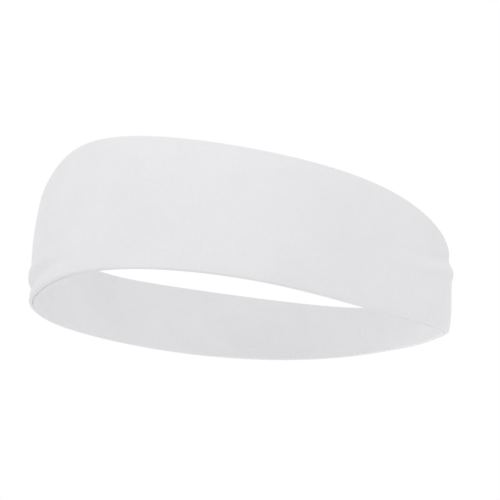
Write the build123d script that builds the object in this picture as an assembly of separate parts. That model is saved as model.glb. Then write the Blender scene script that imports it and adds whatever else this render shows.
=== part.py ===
from build123d import *
import os
from functools import lru_cache
from math import atan2, cos, hypot, pi, sin

# A wide tapered sports headband of knitted cloth, in millimetres, at its worn size.
# It stands on its lower edge at Z = 0, with the front of the head at -Y and the wearer's
# left at +X. Angles go round the head from the front, through the wearer's left, to the back.

# Lower edge, seen from above: an oval with a slightly tighter bend at each side.
MEAN_RADIUS = 87.4
OVAL = 0.073
SIDE_BEND = 0.032
DIAGONAL = -0.026
SKEW = -0.019
QUARTER_SKEW = -0.025

# Height of the top edge over the lower edge: tall across the forehead, low at the nape.
MEAN_HEIGHT = 36.5
TAPER = 14.7
LENGTHWISE = 2.5
SHOULDER = -3.8
QUARTERS = -0.4
SIDE_DROP = -4.0
SIDE_TWIST = 1.3

# How the wall leans in at its top edge and swells at mid-height.
LEAN = 2.5
FRONT_LEAN = 1.0
LENGTHWISE_LEAN = 2.2
SWELL = 1.4

# Cloth and thread.
CLOTH = 0.5
FOLD_GAP = 0.4
THREAD = 0.2
ALLOWANCE = 6.0
LAYER_CLEARANCE = 0.05
LINING_INSET = 0.4

# Upright seam that closes each layer into a ring, behind the wearer's left ear.
SEAM_ANGLE = 140.8 * pi / 180
SEAM_GROOVE = 0.3

# Hand-closed stretch of the lower edge, left open for turning.
CLOSING_ANGLE = pi
CLOSING_STITCHES = 12
CLOSING_PITCH = 4.0

# Stitches: how many go round an edge, their pitch up a seam, and the share of each that is gap.
EDGE_STITCHES = 100
UPRIGHT_PITCH = 3.0
STITCH_GAP = 0.2

# Middle of the finished band's box, from the oval's own centre: the origin is moved there.
BOX_MIDDLE_X = 1.64
BOX_MIDDLE_Y = -0.3

# Values worked out from the ones above.
LAYER = 2 * CLOTH + FOLD_GAP
LINING_FACE = LAYER + LAYER_CLEARANCE
THREAD_CLEARANCE = (FOLD_GAP - THREAD) / 2

# How finely the wall's surfaces are drawn: points round a level curve, and the curves' levels.
SECTION_POINTS = 24
LEVELS = (-4.0, 16.0, 36.0, 56.0)

# Blocks that cut the layers to shape: they reach well past the band on every side.
CUT_REACH = 120.0
CUT_HEIGHT = 300.0
CUT_THROUGH = 24.0
CUT_MARGIN = 1.0
CUT_POINTS = 13
CUT_CENTRE = 40.0


def plan_radius(angle):
    """Distance from the axis to the lower edge's outer face."""
    waves = OVAL * cos(2 * angle) + SIDE_BEND * cos(4 * angle)
    skews = DIAGONAL * sin(2 * angle) + SKEW * sin(3 * angle) + QUARTER_SKEW * sin(4 * angle)
    return MEAN_RADIUS * (1 + waves + skews)


def top_height(angle):
    """Height of the top edge over the lower edge."""
    taper = TAPER * cos(angle) + LENGTHWISE * cos(2 * angle)
    shoulder = SHOULDER * cos(3 * angle) + QUARTERS * cos(4 * angle)
    sides = SIDE_DROP * sin(angle) + SIDE_TWIST * sin(2 * angle)
    return MEAN_HEIGHT + taper + shoulder + sides


def inward(angle, z):
    """How far the outer face at height z lies inside the lower edge."""
    share = z / top_height(angle)
    lean = LEAN + FRONT_LEAN * cos(angle) + LENGTHWISE_LEAN * cos(2 * angle)
    return lean * share**2 - SWELL * 4 * share * (1 - share)


def face_point(angle, z):
    """A point of the outer face."""
    radius = plan_radius(angle) - inward(angle, z)
    return radius * sin(angle), -radius * cos(angle)


def wall_frame(angle, z):
    """The outer face's point at an angle and height, and its level tangent there."""
    step = 0.001
    before = face_point(angle - step, z)
    after = face_point(angle + step, z)
    length = hypot(after[0] - before[0], after[1] - before[1])
    tangent = ((after[0] - before[0]) / length, (after[1] - before[1]) / length)
    return face_point(angle, z), tangent


def section(depth, z):
    """Closed level curve that lies depth inside the outer face."""
    points = []
    for i in range(SECTION_POINTS):
        (x, y), (tx, ty) = wall_frame(2 * pi * i / SECTION_POINTS, z)
        points.append((x - depth * ty, y + depth * tx, z))
    steps = [i / SECTION_POINTS for i in range(SECTION_POINTS + 1)]
    return Wire([Edge.make_spline([Vector(*p) for p in points], parameters=steps, periodic=True)])


@lru_cache(maxsize=None)
def form(depth):
    """Solid bounded by the wall surface that lies depth inside the outer face."""
    return Solid.make_loft([section(depth, z) for z in LEVELS])


def roof_height(x, y):
    """Height of the top edge above any point outside the centre, where the roof levels out."""
    rise = top_height(atan2(x, -y)) - MEAN_HEIGHT
    return MEAN_HEIGHT + rise * min(1, hypot(x, y) / CUT_CENTRE)


@lru_cache(maxsize=None)
def slab(bottom, drop):
    """Everything between the level bottom and a surface that lies drop below the top edge."""
    grid = []
    for i in range(CUT_POINTS):
        x = CUT_REACH * (2 * i / (CUT_POINTS - 1) - 1)
        row = []
        for j in range(CUT_POINTS):
            y = CUT_REACH * (2 * j / (CUT_POINTS - 1) - 1)
            row.append(Vector(x, y, roof_height(x, y) - drop))
        grid.append(row)
    roof = Face.make_surface_from_array_of_points(grid)
    side = 2 * (CUT_REACH - CUT_MARGIN)
    block = Pos(0, 0, bottom + CUT_HEIGHT / 2) * Box(side, side, CUT_HEIGHT)
    return block.split(roof, keep=Keep.BOTTOM)


def beside_seam(left, right):
    """Tall block across the wall at the upright seam, between two offsets along the band."""
    (x, y), (tx, ty) = wall_frame(SEAM_ANGLE, 0)
    plane = Plane(origin=(x, y, 0), x_dir=(tx, ty, 0), z_dir=(0, 0, 1))
    return plane * Pos((left + right) / 2, 0, 0) * Box(right - left, CUT_THROUGH, CUT_HEIGHT)


def layer(face, inset, inside_out):
    """One layer with its edges turned in: wall, folds, and seam allowances.

    face is the depth of the layer's outermost surface. The outer layer has its wall there
    and its allowances behind it; the lining has them the other way round."""
    back = face + LAYER
    slot_start = face + CLOTH
    slot_end = slot_start + FOLD_GAP
    middle = slot_start + FOLD_GAP / 2
    body = (form(face) - form(back)) & slab(inset, inset)
    slot = (form(slot_start) - form(slot_end)) & slab(inset + CLOTH, inset + CLOTH)
    body -= slot - (beside_seam(-CLOTH, CLOTH) & slab(inset + 2 * CLOTH, inset + 2 * CLOTH))
    free = slab(inset + ALLOWANCE, inset + ALLOWANCE) - beside_seam(-ALLOWANCE, ALLOWANCE)
    if inside_out:
        body -= (form(face - CUT_MARGIN) - form(middle)) & free
    else:
        body -= form(middle) & free
    return body - seam_groove(face, inside_out)


def seam_groove(face, inside_out):
    """Shallow groove where the two turned ends of a layer meet at the upright seam."""
    if inside_out:
        skin = form(face + LAYER - SEAM_GROOVE)
    else:
        skin = form(face - CUT_MARGIN) - form(face + SEAM_GROOVE)
    return skin & beside_seam(-SEAM_GROOVE / 2, SEAM_GROOVE / 2)


def bar(start, end, out):
    """One straight stitch from start to end: a square bar with one side facing out."""
    along = end - start
    facing = out - along * (out.dot(along) / along.dot(along))
    plane = Plane(origin=(start + end) / 2, x_dir=along, z_dir=facing)
    return plane * Box(along.length, THREAD, THREAD)


def inside_wall(angle, z, depth):
    """Point at a depth in the wall, with the outward direction there."""
    (x, y), (tx, ty) = wall_frame(angle, z)
    return Vector(x - depth * ty, y + depth * tx, z), Vector(ty, -tx, 0)


def stitch_row(place, count):
    """Stitches in a row: place gives the point and outward direction at a number of stitches."""
    stitches = []
    for i in range(count):
        start, out = place(i + STITCH_GAP / 2)
        end, _ = place(i + 1 - STITCH_GAP / 2)
        stitches.append(bar(start, end, out))
    return Compound(children=stitches)


def edge_thread(face, inset, at_top):
    """Thread of an edge seam: a ring of stitches lying in the bottom of a fold."""
    depth = face + CLOTH + FOLD_GAP / 2
    drop = inset + CLOTH + FOLD_GAP / 2

    def place(stitch):
        angle = 2 * pi * stitch / EDGE_STITCHES
        point, _ = inside_wall(angle, MEAN_HEIGHT, depth)
        top = top_height(atan2(point.X, -point.Y))
        return inside_wall(angle, top - drop if at_top else drop, depth)

    return stitch_row(place, EDGE_STITCHES)


def upright_thread(face, inset, side):
    """Thread of an upright seam: stitches in the gap beside the seam, on one side of it."""
    depth = face + CLOTH + FOLD_GAP / 2
    angle = SEAM_ANGLE + side * (CLOTH + FOLD_GAP / 2) / plan_radius(SEAM_ANGLE)
    low = inset + 3 * CLOTH
    high = top_height(angle) - inset - 3 * CLOTH
    count = round((high - low) / UPRIGHT_PITCH)
    return stitch_row(lambda i: inside_wall(angle, low + (high - low) * i / count, depth), count)


def closing_thread():
    """Ladder stitches that close the turning gap, from the shell's fold under the lining's."""
    step = CLOSING_PITCH / plan_radius(CLOSING_ANGLE)
    level = LINING_INSET - THREAD / 2
    stitches = []
    for i in range(CLOSING_STITCHES):
        angle = CLOSING_ANGLE + step * (i - (CLOSING_STITCHES - 1) / 2)
        start, _ = inside_wall(angle, level, LAYER + THREAD_CLEARANCE)
        end, _ = inside_wall(angle, level, LAYER + THREAD_CLEARANCE + 2 * CLOTH)
        stitches.append(bar(start, end, Vector(0, 0, 1)))
    return Compound(children=stitches)


def build():
    """Every node of the headband, by name."""
    nodes = {
        "outer_shell": layer(0.0, 0.0, False),
        "inner_lining": layer(LINING_FACE, LINING_INSET, True),
        "turning_gap_closing_thread": closing_thread(),
    }
    for kind, face, inset in (("needle", 0.0, 0.0), ("looper", LINING_FACE, LINING_INSET)):
        nodes[f"top_edge_{kind}_thread"] = edge_thread(face, inset, True)
        nodes[f"bottom_edge_{kind}_thread"] = edge_thread(face, inset, False)
    for kind, side in (("needle", 1), ("looper", -1)):
        nodes[f"shell_back_seam_{kind}_thread"] = upright_thread(0.0, 0.0, side)
        nodes[f"lining_back_seam_{kind}_thread"] = upright_thread(LINING_FACE, LINING_INSET, side)
    return nodes


os.makedirs("parts", exist_ok=True)
for name, shape in build().items():
    export_step(Pos(-BOX_MIDDLE_X, -BOX_MIDDLE_Y, 0) * shape, f"parts/{name}.step")
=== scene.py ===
from math import cos, pi, radians, sin

import bmesh
import bpy
import numpy as np
from mathutils import Matrix, Vector


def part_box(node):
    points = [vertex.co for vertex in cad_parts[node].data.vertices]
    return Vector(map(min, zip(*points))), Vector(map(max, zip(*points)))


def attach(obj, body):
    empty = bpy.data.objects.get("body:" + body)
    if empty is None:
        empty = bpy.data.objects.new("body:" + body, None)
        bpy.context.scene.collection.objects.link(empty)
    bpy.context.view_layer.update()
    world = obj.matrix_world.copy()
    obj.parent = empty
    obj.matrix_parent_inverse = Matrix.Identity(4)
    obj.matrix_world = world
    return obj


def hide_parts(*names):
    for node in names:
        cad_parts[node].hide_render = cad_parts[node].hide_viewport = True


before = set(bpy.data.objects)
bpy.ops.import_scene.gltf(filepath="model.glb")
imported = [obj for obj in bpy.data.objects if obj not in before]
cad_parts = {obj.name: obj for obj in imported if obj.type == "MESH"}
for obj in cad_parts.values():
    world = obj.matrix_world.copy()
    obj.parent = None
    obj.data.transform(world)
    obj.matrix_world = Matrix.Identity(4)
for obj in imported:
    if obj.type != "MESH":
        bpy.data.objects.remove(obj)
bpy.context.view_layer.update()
shell_low, shell_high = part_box("outer_shell")
middle_x = (shell_low.x + shell_high.x) / 2
middle_y = (shell_low.y + shell_high.y) / 2

# Lengths below are millimetres of the band as it was designed, 195.8 mm long; MM turns them into
# the frame's metres. Angles go round the head from the front, through the wearer's left, to the back.
DESIGN_LENGTH = 195.8
MM = (shell_high.y - shell_low.y) / DESIGN_LENGTH
OVAL_MIDDLE = (-1.64, 0.3)

# Lower edge, seen from above, and its gentle wave up and down.
MEAN_RADIUS = 87.4
OVAL = 0.073
SIDE_BEND = 0.032
DIAGONAL = -0.026
SKEW = -0.019
QUARTER_SKEW = -0.025
EDGE_WAVE = -1.36

# Lifts of the lower edge over the left and right ear: middle and width as angles, and height.
EAR_LIFTS = (
    (radians(94), radians(15), 1.2),
    (radians(263), radians(12), 0.4),
)

# Height of the top edge over the lower edge.
MEAN_HEIGHT = 36.5
TAPER = 14.7
LENGTHWISE = 2.5
SHOULDER = -3.8
QUARTERS = -0.4
SIDE_DROP = -4.0
SIDE_TWIST = 1.3

# How the wall leans in at its top edge and swells at mid-height.
LEAN = 2.5
FRONT_LEAN = 1.0
LENGTHWISE_LEAN = 2.2
SWELL = 1.4

# Creases over the ears: size (a hollow is negative), the angles and heights of both ends, and width.
RIGHT_EAR = (radians(262), radians(318))
LEFT_EAR = (radians(98), radians(52))
CREASES = (
    (1.0, RIGHT_EAR, (10.5, 10.0), 2.2),
    (-1.25, RIGHT_EAR, (5.6, 5.8), 1.8),
    (0.95, LEFT_EAR, (25.9, 19.6), 2.6),
    (-0.6, LEFT_EAR, (31.0, 24.0), 1.8),
)

# Where a crease fades in and out, and over what length, as shares of its own length.
CREASE_START = -0.12
CREASE_RISE = 0.06
CREASE_END = 0.7
CREASE_FALL = 0.13
CREASE_REACH = (-0.3, 1.3)

# Broad bulges over the ears: size (a hollow is negative), the middle's angle and height, and the
# width in each.
BULGES = (
    (-0.55, radians(272), 12.0, radians(16), 12.0),
    (1.3, radians(83), 3.0, radians(14), 10.0),
)

# Slow unevenness of the cloth: waves round the band, their slant per millimetre of height, the
# size that a single wave would have, and how far from an edge it fades.
WAVE_COUNTS = (5, 7, 8, 11, 13, 17, 19, 23)
WAVE_SLANT = 0.09
WAVE_SIZE = 0.9
WAVE_SEED = 7
CALM_EDGE = 6.0

# Cloth, folds and seams.
CLOTH = 0.5
FOLD_GAP = 0.4
LAYER = 2 * CLOTH + FOLD_GAP
LAYER_CLEARANCE = 0.05
LINING_FACE = LAYER + LAYER_CLEARANCE
LINING_HANG = 0.2
LINING_ROLL = 0.45
ROLL_MIDDLE = radians(3)
ROLL_WIDTH = radians(43)
LINING_TOP_INSET = 0.2
ALLOWANCE = 6.0
SQUARENESS = 0.35
SEAM_ANGLE = radians(140.8)
SEAM_WIDTH = 0.4
SEAM_DEPTH = 0.14
SEAM_BAND = 0.12
SEAM_SOFTNESS = 0.5
SEAM_FADE = 3.0
SEAM_PUCKER = 0.25
EDGE_PUCKER = 0.05
PUCKER_REACH = 1.6
STITCH_PITCH = 3.0
CLOSING_STITCHES = 12
CLOSING_PITCH = 4.0
THREAD = 0.2

# Mesh fineness.
COLUMNS = 620
SEAM_COLUMNS = 44
SEAM_REACH = radians(4.5)
SEAM_CROWDING = 1.7
WALL_ROWS = 46
HIDDEN_ROWS = 24
ALLOWANCE_ROWS = 4
FOLD_STEPS = 12
INNER_FOLD_STEPS = 4
CUT_STEPS = 3
ANGLE_STEP = 1e-3


# ---- the band's form -------------------------------------------------------------------------


def plan_radius(angle):
    """Distance from the axis to the lower edge's outer face."""
    waves = OVAL * np.cos(2 * angle) + SIDE_BEND * np.cos(4 * angle)
    skews = DIAGONAL * np.sin(2 * angle) + SKEW * np.sin(3 * angle)
    return MEAN_RADIUS * (1 + waves + skews + QUARTER_SKEW * np.sin(4 * angle))


def wall_height(angle):
    """Height of the top edge over the lower edge."""
    taper = TAPER * np.cos(angle) + LENGTHWISE * np.cos(2 * angle)
    shoulder = SHOULDER * np.cos(3 * angle) + QUARTERS * np.cos(4 * angle)
    sides = SIDE_DROP * np.sin(angle) + SIDE_TWIST * np.sin(2 * angle)
    return MEAN_HEIGHT + taper + shoulder + sides


def lower_edge(angle):
    """Height of the lower edge itself, which waves a little and lifts over each ear."""
    total = EDGE_WAVE * np.sin(2 * angle)
    for middle, width, lift in EAR_LIFTS:
        total = total + lift * hump(turn(angle, middle), width)
    return total


def insets(angle, inside):
    """How far a layer's lower and upper edges stand back from the band's own.

    The lining hangs just below the shell, apart from the forehead, where it rolls out of sight."""
    if not inside:
        return 0 * angle, 0 * angle
    rolled = LINING_ROLL * hump(turn(angle, ROLL_MIDDLE) ** 2, ROLL_WIDTH**2)
    return rolled - LINING_HANG, LINING_TOP_INSET + 0 * angle


def inward(angle, share):
    """How far the outer face at a share of the height lies inside the lower edge."""
    lean = LEAN + FRONT_LEAN * np.cos(angle) + LENGTHWISE_LEAN * np.cos(2 * angle)
    return lean * share**2 - SWELL * 4 * share * (1 - share)


def turn(angle, middle):
    """Signed angle from middle, from -pi to pi."""
    return (angle - middle + pi) % (2 * pi) - pi


def hump(distance, width):
    """Smooth rise to 1 at no distance, and back."""
    return np.exp(-((distance / width) ** 2))


def rise(distance, width):
    """Smooth step from 0 to 1, a half at no distance."""
    return 1 / (1 + np.exp(-distance / width))


def crease(angle, height, ends, levels, width):
    """Soft ridge, 1 mm high, that runs along the band from one angle and height to another."""
    start, end = ends
    low, high = levels
    along = turn(angle, start) / turn(end, start)
    line = low + (high - low) * np.clip(along, *CREASE_REACH)
    fade = rise(along - CREASE_START, CREASE_RISE) * rise(CREASE_END - along, CREASE_FALL)
    return fade * hump(height - line, width)


def wrinkles(angle, height):
    """The creases and bulges at the two sides, where the worn band folds over the ears."""
    total = 0
    for size, ends, levels, width in CREASES:
        total = total + size * crease(angle, height, ends, levels, width)
    for size, middle, level, spread, reach in BULGES:
        total = total + size * hump(turn(angle, middle), spread) * hump(height - level, reach)
    return total


def drape(angle, height):
    """Slow, slight unevenness of worn knit, in waves of about 25 to 110 mm."""
    total = 0
    for count, slant, size, phase in WAVES:
        total = total + size * np.sin(count * angle + slant * height + phase)
    return total


def edge_pucker(angle, distance):
    """Faint scallops that the seam's stitches draw in the cloth beside an edge."""
    count = round(2 * pi * MEAN_RADIUS / STITCH_PITCH)
    return EDGE_PUCKER * np.cos(count * angle) * hump(distance - PUCKER_REACH, PUCKER_REACH)


def seam_relief(angle, height, from_edge):
    """Groove of the upright seam, with the slightly raised band over its allowances.

    The band sinks away at the turned edges, where the two layers are sewn together."""
    along = turn(angle, SEAM_ANGLE) * plan_radius(SEAM_ANGLE)
    pucker = 1 + SEAM_PUCKER * np.cos(2 * pi * height / STITCH_PITCH)
    groove = SEAM_DEPTH * pucker * hump(along, SEAM_WIDTH)
    raised = SEAM_BAND * rise(ALLOWANCE - np.abs(along), SEAM_SOFTNESS)
    return raised * (1 - hump(from_edge, SEAM_FADE)) - groove


def make_waves():
    """Random waves for drape(), the same at every run."""
    random = np.random.default_rng(WAVE_SEED)
    waves = []
    for count in WAVE_COUNTS:
        slant = random.uniform(-WAVE_SLANT, WAVE_SLANT)
        size = WAVE_SIZE / count * random.uniform(0.5, 1.0)
        waves.append((count, slant, size, random.uniform(0, 2 * pi)))
    return waves


WAVES = make_waves()


def relief(angle, height, top, inside):
    """How far the cloth stands out from the plain form.

    Both layers share the wrinkles and the drape; the pucker and the seam face away from the other
    layer."""
    from_edge = np.minimum(height, top - height)
    calm = 1 - hump(from_edge, CALM_EDGE)
    shared = wrinkles(angle, height) + calm * drape(angle, height)
    facing = -1 if inside else 1
    puckered = shared + edge_pucker(angle, from_edge) * facing
    return puckered + seam_relief(angle, height, from_edge) * facing


def form_point(angle, height, depth, inside=False):
    """Points, in metres, at a height over the lower edge and a depth in from the outer face."""

    def base(a):
        radius = plan_radius(a) - inward(a, height / wall_height(a))
        return radius * np.sin(a), -radius * np.cos(a)

    before, after = base(angle - ANGLE_STEP), base(angle + ANGLE_STEP)
    tangent_x, tangent_y = after[0] - before[0], after[1] - before[1]
    length = np.hypot(tangent_x, tangent_y)
    x, y = base(angle)
    out = relief(angle, height, wall_height(angle), inside) - depth
    x = x + out * tangent_y / length + OVAL_MIDDLE[0]
    y = y - out * tangent_x / length + OVAL_MIDDLE[1]
    z = height + lower_edge(angle)
    return np.stack([middle_x + x * MM, middle_y + y * MM, shell_low.z + z * MM], axis=-1)


# ---- one layer of cloth ----------------------------------------------------------------------


def bend(depth, offset, radius, start, end, steps):
    """Arc of a fold's section: (depth, offset) pairs after the first, offset away from the edge.

    The half that lies against the other layer is squarer, because the seam presses it flat."""
    points = []
    for i in range(1, steps + 1):
        turned = start + (end - start) * i / steps
        across, down = -cos(turned), sin(turned)
        if across > 0 and down > 0:
            across, down = across**SQUARENESS, down**SQUARENESS
        points.append((depth + radius * across, offset - radius * down))
    return points


def edge_section():
    """Section of a turned edge, from the wall's outer face round to its inner face.

    Pairs of depth and distance from the edge: the outer fold, the allowance's back, its cut end,
    its front, and the inside of the fold."""
    fold = LAYER / 2
    points = [(0.0, fold)]
    points += bend(fold, fold, fold, 0, pi, FOLD_STEPS)
    cut = CLOTH / 2
    for i in range(1, ALLOWANCE_ROWS + 1):
        points.append((LAYER, fold + (ALLOWANCE - fold - cut) * i / ALLOWANCE_ROWS))
    points += bend(LAYER - cut, ALLOWANCE - cut, cut, pi, 2 * pi, CUT_STEPS)
    for i in range(1, ALLOWANCE_ROWS + 1):
        share = 1 - i / ALLOWANCE_ROWS
        points.append((LAYER - CLOTH, fold + (ALLOWANCE - fold - cut) * share))
    points += bend(fold, fold, FOLD_GAP / 2, pi, 0, INNER_FOLD_STEPS)
    return points


def layer_section():
    """The whole section: (depth, share of height, offset) triples, once round the cloth."""
    edge = edge_section()
    fold = LAYER / 2
    rows = [(depth, 1.0, -offset) for depth, offset in edge]
    for i in range(1, HIDDEN_ROWS):
        share = 1 - i / HIDDEN_ROWS
        rows.append((CLOTH, share, fold * (1 - 2 * share)))
    rows += [(depth, 0.0, offset) for depth, offset in reversed(edge)]
    for i in range(1, WALL_ROWS):
        share = i / WALL_ROWS
        rows.append((0.0, share, fold * (1 - 2 * share)))
    return rows


def column_angles():
    """Angles round the band, closer together at the upright seam."""
    even = np.linspace(0, 2 * pi, COLUMNS, endpoint=False)
    away = np.abs(turn(even, SEAM_ANGLE)) > SEAM_REACH
    share = np.linspace(-1, 1, SEAM_COLUMNS)
    close = SEAM_ANGLE + SEAM_REACH * np.sign(share) * np.abs(share) ** SEAM_CROWDING
    return np.sort(np.concatenate([even[away], close]))


def mesh_object(name, points, faces):
    """Smooth-shaded object in the scene, with its faces turned outward."""
    mesh = bpy.data.meshes.new(name)
    mesh.from_pydata([tuple(p) for p in points], [], faces)
    shape = bmesh.new()
    shape.from_mesh(mesh)
    bmesh.ops.recalc_face_normals(shape, faces=shape.faces)
    shape.to_mesh(mesh)
    shape.free()
    mesh.polygons.foreach_set("use_smooth", [True] * len(mesh.polygons))
    piece = bpy.data.objects.new(name, mesh)
    bpy.context.scene.collection.objects.link(piece)
    return piece


def torus_faces(rings, points, closed=True):
    """Quads between neighbouring rings of points; closed joins the last ring to the first."""
    faces = []
    for i in range(rings if closed else rings - 1):
        here = i * points
        there = (i + 1) % rings * points
        for j in range(points):
            k = (j + 1) % points
            faces.append((here + j, there + j, there + k, here + k))
    return faces


def cloth_layer(name, inside):
    """A layer of knit: a ring of wall with both edges turned in to their allowances."""
    angles = column_angles()
    low, high = insets(angles, inside)
    top = wall_height(angles) - high
    section = layer_section()
    columns = []
    for depth, share, offset in section:
        height = share * top + (1 - share) * low + offset
        deep = LINING_FACE + LAYER - depth if inside else depth
        columns.append(form_point(angles, height, deep, inside))
    points = np.stack(columns, axis=1).reshape(-1, 3)
    return mesh_object(name, points, torus_faces(len(angles), len(section)))


# ---- threads ---------------------------------------------------------------------------------

STRAND_POINTS = 8
PLY_TURN = 1.1
PLY_DEPTH = 0.28
THREAD_STEP = 0.3
WEAVE = 0.09

# Where a thread runs steeper than this, its rings are turned by the X axis instead of the Z axis.
STEEP = 0.9

# Ladder stitches: points along each, how sharply it steps down to the lining, its slant, and how
# sharply its ends turn up into the cloth.
LADDER_POINTS = 17
LADDER_STEP = 0.15
LADDER_SLANT = 0.25
LADDER_HOOK = 6


def thread_rings(path, closed):
    """Rings of a two-ply thread's surface along a path, in metres; the two plies twist round it."""
    if closed:
        along = np.roll(path, -1, axis=0) - np.roll(path, 1, axis=0)
    else:
        along = np.gradient(path, axis=0)
    along /= np.linalg.norm(along, axis=1)[:, None]
    guide = np.where(np.abs(along[:, 2:3]) > STEEP, [[1.0, 0, 0]], [[0, 0, 1.0]])
    side = np.cross(along, guide)
    side /= np.linalg.norm(side, axis=1)[:, None]
    lift = np.cross(side, along)
    steps = np.linalg.norm(np.diff(path, axis=0), axis=1)
    run = np.concatenate([[0], np.cumsum(steps)]) / MM
    turns = run / PLY_TURN
    if closed:
        total = run[-1] + np.linalg.norm(path[0] - path[-1]) / MM
        turns = run / total * round(total / PLY_TURN)
    rings = []
    for i in range(STRAND_POINTS):
        around = 2 * pi * i / STRAND_POINTS
        waist = 1 - PLY_DEPTH * np.sin(around - pi * turns) ** 2
        radius = (THREAD / 2 * MM * waist)[:, None]
        rings.append(path + radius * (cos(around) * side + sin(around) * lift))
    return np.stack(rings, axis=1)


def thread_mesh(name, strands, closed):
    """One piece made of one or more threads, each given by its path."""
    points, faces = [], []
    for path in strands:
        rings = thread_rings(path, closed)
        start = len(points)
        points += [tuple(p) for p in rings.reshape(-1, 3)]
        for face in torus_faces(len(path), STRAND_POINTS, closed):
            faces.append(tuple(start + v for v in face))
        if not closed:
            faces.append(tuple(start + j for j in range(STRAND_POINTS)))
            last = start + (len(path) - 1) * STRAND_POINTS
            faces.append(tuple(last + j for j in range(STRAND_POINTS)))
    return mesh_object(name, points, faces)


def edge_thread(name, inside, at_top):
    """Seam thread in the bottom of a turned edge's fold, weaving in and out at each stitch."""
    girth = 2 * pi * MEAN_RADIUS
    stitches = round(girth / STITCH_PITCH)
    angles = np.linspace(0, 2 * pi, round(girth / THREAD_STEP), endpoint=False)
    weave = WEAVE * np.cos(stitches * angles + (pi if inside else 0))
    depth = (LINING_FACE if inside else 0) + LAYER / 2 + weave
    low, high = insets(angles, inside)
    height = wall_height(angles) - high - LAYER / 2 if at_top else low + LAYER / 2
    return thread_mesh(name, [form_point(angles, height, depth)], True)


def upright_thread(name, inside, side):
    """Seam thread beside the upright seam, on one side of it."""
    offset = side * (CLOTH + FOLD_GAP / 2)
    angle = SEAM_ANGLE + offset / plan_radius(SEAM_ANGLE)
    low, high = insets(angle, inside)
    height = np.arange(low + 3 * CLOTH, wall_height(angle) - high - 3 * CLOTH, THREAD_STEP)
    angles = np.full(len(height), angle)
    weave = WEAVE * np.cos(2 * pi * height / STITCH_PITCH)
    depth = (LINING_FACE if inside else 0) + LAYER / 2 + weave
    return thread_mesh(name, [form_point(angles, height, depth)], False)


def closing_thread(name):
    """Ladder stitches across the crease between the two layers' lower folds."""
    strands = []
    for i in range(CLOSING_STITCHES):
        angle = pi + (i - (CLOSING_STITCHES - 1) / 2) * CLOSING_PITCH / plan_radius(pi)
        across = np.linspace(-1, 1, LADDER_POINTS)
        depth = LAYER + LAYER_CLEARANCE / 2 + CLOTH * across
        step = -LINING_HANG * rise(across, LADDER_STEP)
        height = step - THREAD / 2 + 2 * THREAD * across**LADDER_HOOK
        slanted = angle + LADDER_SLANT * across / plan_radius(pi)
        strands.append(form_point(slanted, height, depth))
    return thread_mesh(name, strands, False)


# ---- materials -------------------------------------------------------------------------------

# The knit's columns and courses and the reliefs are in millimetres; noise scales are per metre.
KNIT_WALE = 0.8
KNIT_COURSE = 0.62
KNIT_RELIEF = 0.07
CLOUDS = 38
SLUBS = 900
FIBRES = 6000
FIBRE_RELIEF = 0.02
PAPER_GRAIN = 60

# Dark and light shade of each material.
OUTER_SHADES = (0.862, 0.862, 0.876), (0.892, 0.892, 0.906)
# The lining's shades are the shell's knit made darker: painted shade for the dimmer light inside the
# ring.
LINING_SHADES_PAINTED_DARKER = (0.818, 0.818, 0.832), (0.848, 0.848, 0.862)
SLUB_SHADES = (0.975, 0.975, 0.975), (1, 1, 1)
# Painted shade in the knit's gaps and a faint painted highlight on the yarn, multiplied into the
# knit's colour.
KNIT_GAP_PAINTED_SHADES = (0.94, 0.94, 0.943), (1.01, 1.01, 1.01)
THREAD_SHADES = (0.72, 0.72, 0.73), (0.8, 0.8, 0.81)
FLOOR_SHADES = (0.72, 0.72, 0.72), (0.74, 0.74, 0.74)

# Where a noise crosses from the dark shade to the light one, and where the painted shade of the
# knit's gaps gives way to the yarn.
NOISE_BAND = (0.3, 0.7)
GAP_BAND = (0.0, 0.5)


class Graph:
    """A material's nodes, with short calls for the sums that its pattern needs."""

    def __init__(self, name):
        self.material = bpy.data.materials.new(name)
        self.material.use_nodes = True
        self.tree = self.material.node_tree
        self.shader = self.tree.nodes["Principled BSDF"]

    def node(self, kind, **inputs):
        """New node, with its inputs set or linked by name."""
        made = self.tree.nodes.new(kind)
        for key, value in inputs.items():
            self.put(made.inputs[key.replace("_", " ")], value)
        return made

    def put(self, socket, value):
        """Link a socket to a node's output, or set it to a plain value."""
        if isinstance(value, bpy.types.NodeSocket):
            self.tree.links.new(value, socket)
        else:
            socket.default_value = value

    def math(self, operation, *values):
        """Result of a sum on sockets and plain values."""
        made = self.tree.nodes.new("ShaderNodeMath")
        made.operation = operation
        for socket, value in zip(made.inputs, values):
            self.put(socket, value)
        return made.outputs[0]

    def noise(self, place, scale, detail):
        made = self.node("ShaderNodeTexNoise", Vector=place, Scale=scale, Detail=detail)
        return made.outputs["Fac"]

    def ramp(self, value, band, shades):
        """Colour that goes from the first shade to the second across a band of values."""
        made = self.node("ShaderNodeValToRGB", Fac=value)
        for element, position, shade in zip(made.color_ramp.elements, band, shades):
            element.position = position
            element.color = (*shade, 1)
        return made.outputs["Color"]

    def multiply(self, first, second):
        """Product of two colours."""
        made = self.tree.nodes.new("ShaderNodeMix")
        made.data_type = "RGBA"
        made.blend_type = "MULTIPLY"
        made.inputs["Factor"].default_value = 1
        self.put(made.inputs["A"], first)
        self.put(made.inputs["B"], second)
        return made.outputs["Result"]


def band_place(graph):
    """Distance round the band and height, in millimetres, and the object's own position."""
    place = graph.node("ShaderNodeTexCoord").outputs["Object"]
    parts = graph.node("ShaderNodeSeparateXYZ", Vector=place)
    angle = graph.math("ARCTAN2", parts.outputs["X"], parts.outputs["Y"])
    round_it = graph.math("MULTIPLY", angle, MEAN_RADIUS)
    up = graph.math("DIVIDE", parts.outputs["Z"], MM)
    return round_it, up, place


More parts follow.
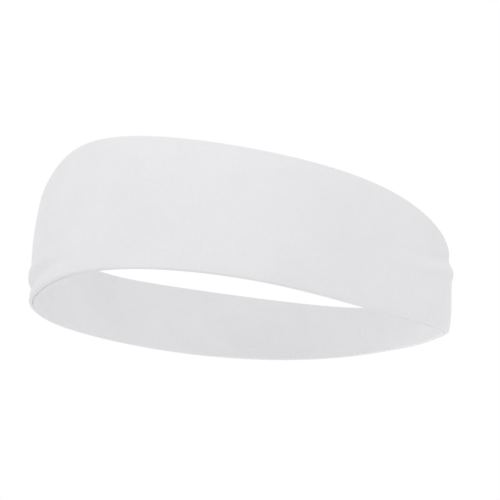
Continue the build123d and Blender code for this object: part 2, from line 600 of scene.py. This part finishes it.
def knit_height(graph, round_it, up):
    """Relief of an interlock knit: columns of V-shaped loops, 0 in the gaps and 1 on the yarn."""
    column = graph.math("PINGPONG", graph.math("DIVIDE", round_it, KNIT_WALE), 0.5)
    leg = graph.math("SINE", graph.math("MULTIPLY", column, 2 * pi))
    slant = graph.math("MULTIPLY", column, 2.0)
    course = graph.math("ADD", graph.math("DIVIDE", up, KNIT_COURSE), slant)
    loop = graph.math("SINE", graph.math("MULTIPLY", course, 2 * pi))
    loop = graph.math("MULTIPLY_ADD", loop, 0.5, 0.5)
    return graph.math("MULTIPLY", graph.math("POWER", leg, 0.6), loop)


def knit_material(name, shades, sheen, roughness):
    """Soft white interlock knit."""
    graph = Graph(name)
    round_it, up, place = band_place(graph)
    knit = knit_height(graph, round_it, up)
    cloudy = graph.noise(place, CLOUDS, 3)
    slub = graph.noise(place, SLUBS, 2)
    colour = graph.ramp(cloudy, NOISE_BAND, shades)
    fibres = graph.ramp(slub, NOISE_BAND, SLUB_SHADES)
    # Painted shade: the knit's gaps darker and the yarn a touch lighter, in the colour itself.
    gaps = graph.ramp(knit, GAP_BAND, KNIT_GAP_PAINTED_SHADES)
    colour = graph.multiply(graph.multiply(colour, fibres), gaps)
    graph.put(graph.shader.inputs["Base Color"], colour)
    rough = graph.math("MULTIPLY_ADD", slub, 0.12, roughness)
    graph.put(graph.shader.inputs["Roughness"], rough)
    fuzz = graph.math("MULTIPLY_ADD", slub, 0.35, knit)
    bump = graph.node("ShaderNodeBump", Height=fuzz, Strength=0.4, Distance=KNIT_RELIEF * MM)
    graph.put(graph.shader.inputs["Normal"], bump.outputs["Normal"])
    graph.shader.inputs["Sheen Weight"].default_value = sheen
    graph.shader.inputs["Sheen Roughness"].default_value = 0.5
    graph.shader.inputs["Specular IOR Level"].default_value = 0.2
    return graph.material


def thread_material(name):
    """Spun polyester sewing thread: slightly glossy, mottled by its fine fibres."""
    graph = Graph(name)
    place = graph.node("ShaderNodeTexCoord").outputs["Object"]
    fibres = graph.noise(place, FIBRES, 3)
    colour = graph.ramp(fibres, NOISE_BAND, THREAD_SHADES)
    graph.put(graph.shader.inputs["Base Color"], colour)
    bump = graph.node("ShaderNodeBump", Height=fibres, Strength=0.3, Distance=FIBRE_RELIEF * MM)
    graph.put(graph.shader.inputs["Normal"], bump.outputs["Normal"])
    graph.put(graph.shader.inputs["Roughness"], graph.math("MULTIPLY_ADD", fibres, 0.2, 0.4))
    graph.shader.inputs["Sheen Weight"].default_value = 0.2
    return graph.material


def floor_material():
    """Matt pale grey paper."""
    graph = Graph("floor_paper")
    place = graph.node("ShaderNodeTexCoord").outputs["Object"]
    grain = graph.noise(place, PAPER_GRAIN, 3)
    colour = graph.ramp(grain, NOISE_BAND, FLOOR_SHADES)
    graph.put(graph.shader.inputs["Base Color"], colour)
    graph.shader.inputs["Roughness"].default_value = 0.9
    graph.shader.inputs["Specular IOR Level"].default_value = 0.1
    return graph.material


# ---- the piece list --------------------------------------------------------------------------


def finish_piece(piece, node, material):
    """Let a piece stand for its CAD node, which gets the same material."""
    piece.data.materials.append(material)
    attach(piece, "root")
    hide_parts(node)
    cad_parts[node].data.materials.clear()
    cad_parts[node].data.materials.append(material)


def make_cloth():
    """The two layers of knit, which the worn band holds stretched."""
    outer = knit_material("outer_knit", OUTER_SHADES, sheen=0.15, roughness=0.78)
    # The lining is the same knit as the shell, painted darker as shade inside the ring.
    inner = knit_material("lining_knit", LINING_SHADES_PAINTED_DARKER, sheen=0.1, roughness=0.82)
    shell = cloth_layer("shell_cloth", False)
    lining = cloth_layer("lining_cloth", True)
    finish_piece(shell, "outer_shell", outer)
    finish_piece(lining, "inner_lining", inner)


def make_threads():
    """The nine threads: four round the edges, four up the back seams and one at the turning gap."""
    material = thread_material("sewing_thread")
    made = {}
    for kind, inside, side in (("needle", False, 1), ("looper", True, -1)):
        for edge, at_top in (("top", True), ("bottom", False)):
            name = f"{edge}_edge_{kind}_thread"
            made[name] = edge_thread(f"{name}_stitches", inside, at_top)
        for layer, in_lining in (("shell", False), ("lining", True)):
            name = f"{layer}_back_seam_{kind}_thread"
            made[name] = upright_thread(f"{name}_stitches", in_lining, side)
    made["turning_gap_closing_thread"] = closing_thread("turning_gap_ladder_stitches")
    for node, piece in made.items():
        finish_piece(piece, node, material)


# ---- camera, floor and light -----------------------------------------------------------------

CAMERA_AROUND = radians(3.0)
CAMERA_UP = radians(-11.48)
CAMERA_ROLL = radians(4.72)
CAMERA_DISTANCE = 0.8
CAMERA_LENS = 142.06
CAMERA_SHIFT = (0.027, 0.0224)
SENSOR_WIDTH = 36
FAR_CLIP = 50
TARGET_HEIGHT = 25.0
FLOOR_DROP = 1.0
FLOOR_SIDE = 40.0

# Soft square lights: name, place, side in metres, power in watts, and the point that each faces.
# The three small ones sit under the band and mostly light its lining.
LIGHTS = (
    ("key", (-0.5, -1.25, 0.0), 0.7, 1.25, (0, 0, 0.02)),
    ("inside_left", (0.03, 0.01, -0.03), 0.04, 0.0045, (0.081, -0.005, 0.01)),
    ("lower_left", (-0.1, 0.04, -0.16), 0.12, 0.033, (0.07, 0.02, 0.02)),
    ("lower_right", (0.1, 0.035, -0.16), 0.12, 0.065, (-0.07, 0.02, 0.02)),
)


def make_camera():
    """Camera a little below the band, looking up at its front, with a slight roll."""
    axis_x = middle_x + OVAL_MIDDLE[0] * MM
    axis_y = middle_y + OVAL_MIDDLE[1] * MM
    target = Vector((axis_x, axis_y, TARGET_HEIGHT * MM))
    level = cos(CAMERA_UP)
    back = Vector((sin(CAMERA_AROUND) * level, -cos(CAMERA_AROUND) * level, sin(CAMERA_UP)))
    right = Vector((cos(CAMERA_AROUND), sin(CAMERA_AROUND), 0))
    up = back.cross(right)
    side = cos(CAMERA_ROLL) * right + sin(CAMERA_ROLL) * up
    head = cos(CAMERA_ROLL) * up - sin(CAMERA_ROLL) * right
    data = bpy.data.cameras.new("camera")
    data.lens = CAMERA_LENS
    data.sensor_width = SENSOR_WIDTH
    data.shift_x, data.shift_y = CAMERA_SHIFT
    data.clip_end = FAR_CLIP
    camera = bpy.data.objects.new("camera", data)
    bpy.context.scene.collection.objects.link(camera)
    turned = Matrix((side, head, back)).transposed().to_4x4()
    camera.matrix_world = Matrix.Translation(target + back * CAMERA_DISTANCE) @ turned
    bpy.context.scene.camera = camera


def area_light(name, place, size, power, target):
    """Square light that the camera doesn't see."""
    data = bpy.data.lights.new(name, "AREA")
    data.size = size
    data.energy = power
    light = bpy.data.objects.new(name, data)
    light.location = place
    light.rotation_euler = (Vector(target) - Vector(place)).to_track_quat("-Z", "Y").to_euler()
    light.visible_camera = False
    bpy.context.scene.collection.objects.link(light)


def make_floor():
    """Wide floor, well below the band, which floats."""
    mesh = bpy.data.meshes.new("floor")
    half = FLOOR_SIDE / 2
    corners = [(-half, -half), (half, -half), (half, half), (-half, half)]
    mesh.from_pydata([(x, y, shell_low.z - FLOOR_DROP) for x, y in corners], [], [(0, 1, 2, 3)])
    mesh.materials.append(floor_material())
    floor = bpy.data.objects.new("floor", mesh)
    bpy.context.scene.collection.objects.link(floor)


def make_light():
    """Even white light from all round, and the soft lights."""
    world = bpy.data.worlds.new("studio")
    world.use_nodes = True
    background = world.node_tree.nodes["Background"]
    background.inputs["Color"].default_value = (1, 1, 1, 1)
    background.inputs["Strength"].default_value = 1.0
    bpy.context.scene.world = world
    for light in LIGHTS:
        area_light(*light)
    bpy.context.scene.view_settings.view_transform = "Standard"


make_camera()
make_floor()
make_light()
make_cloth()
make_threads()
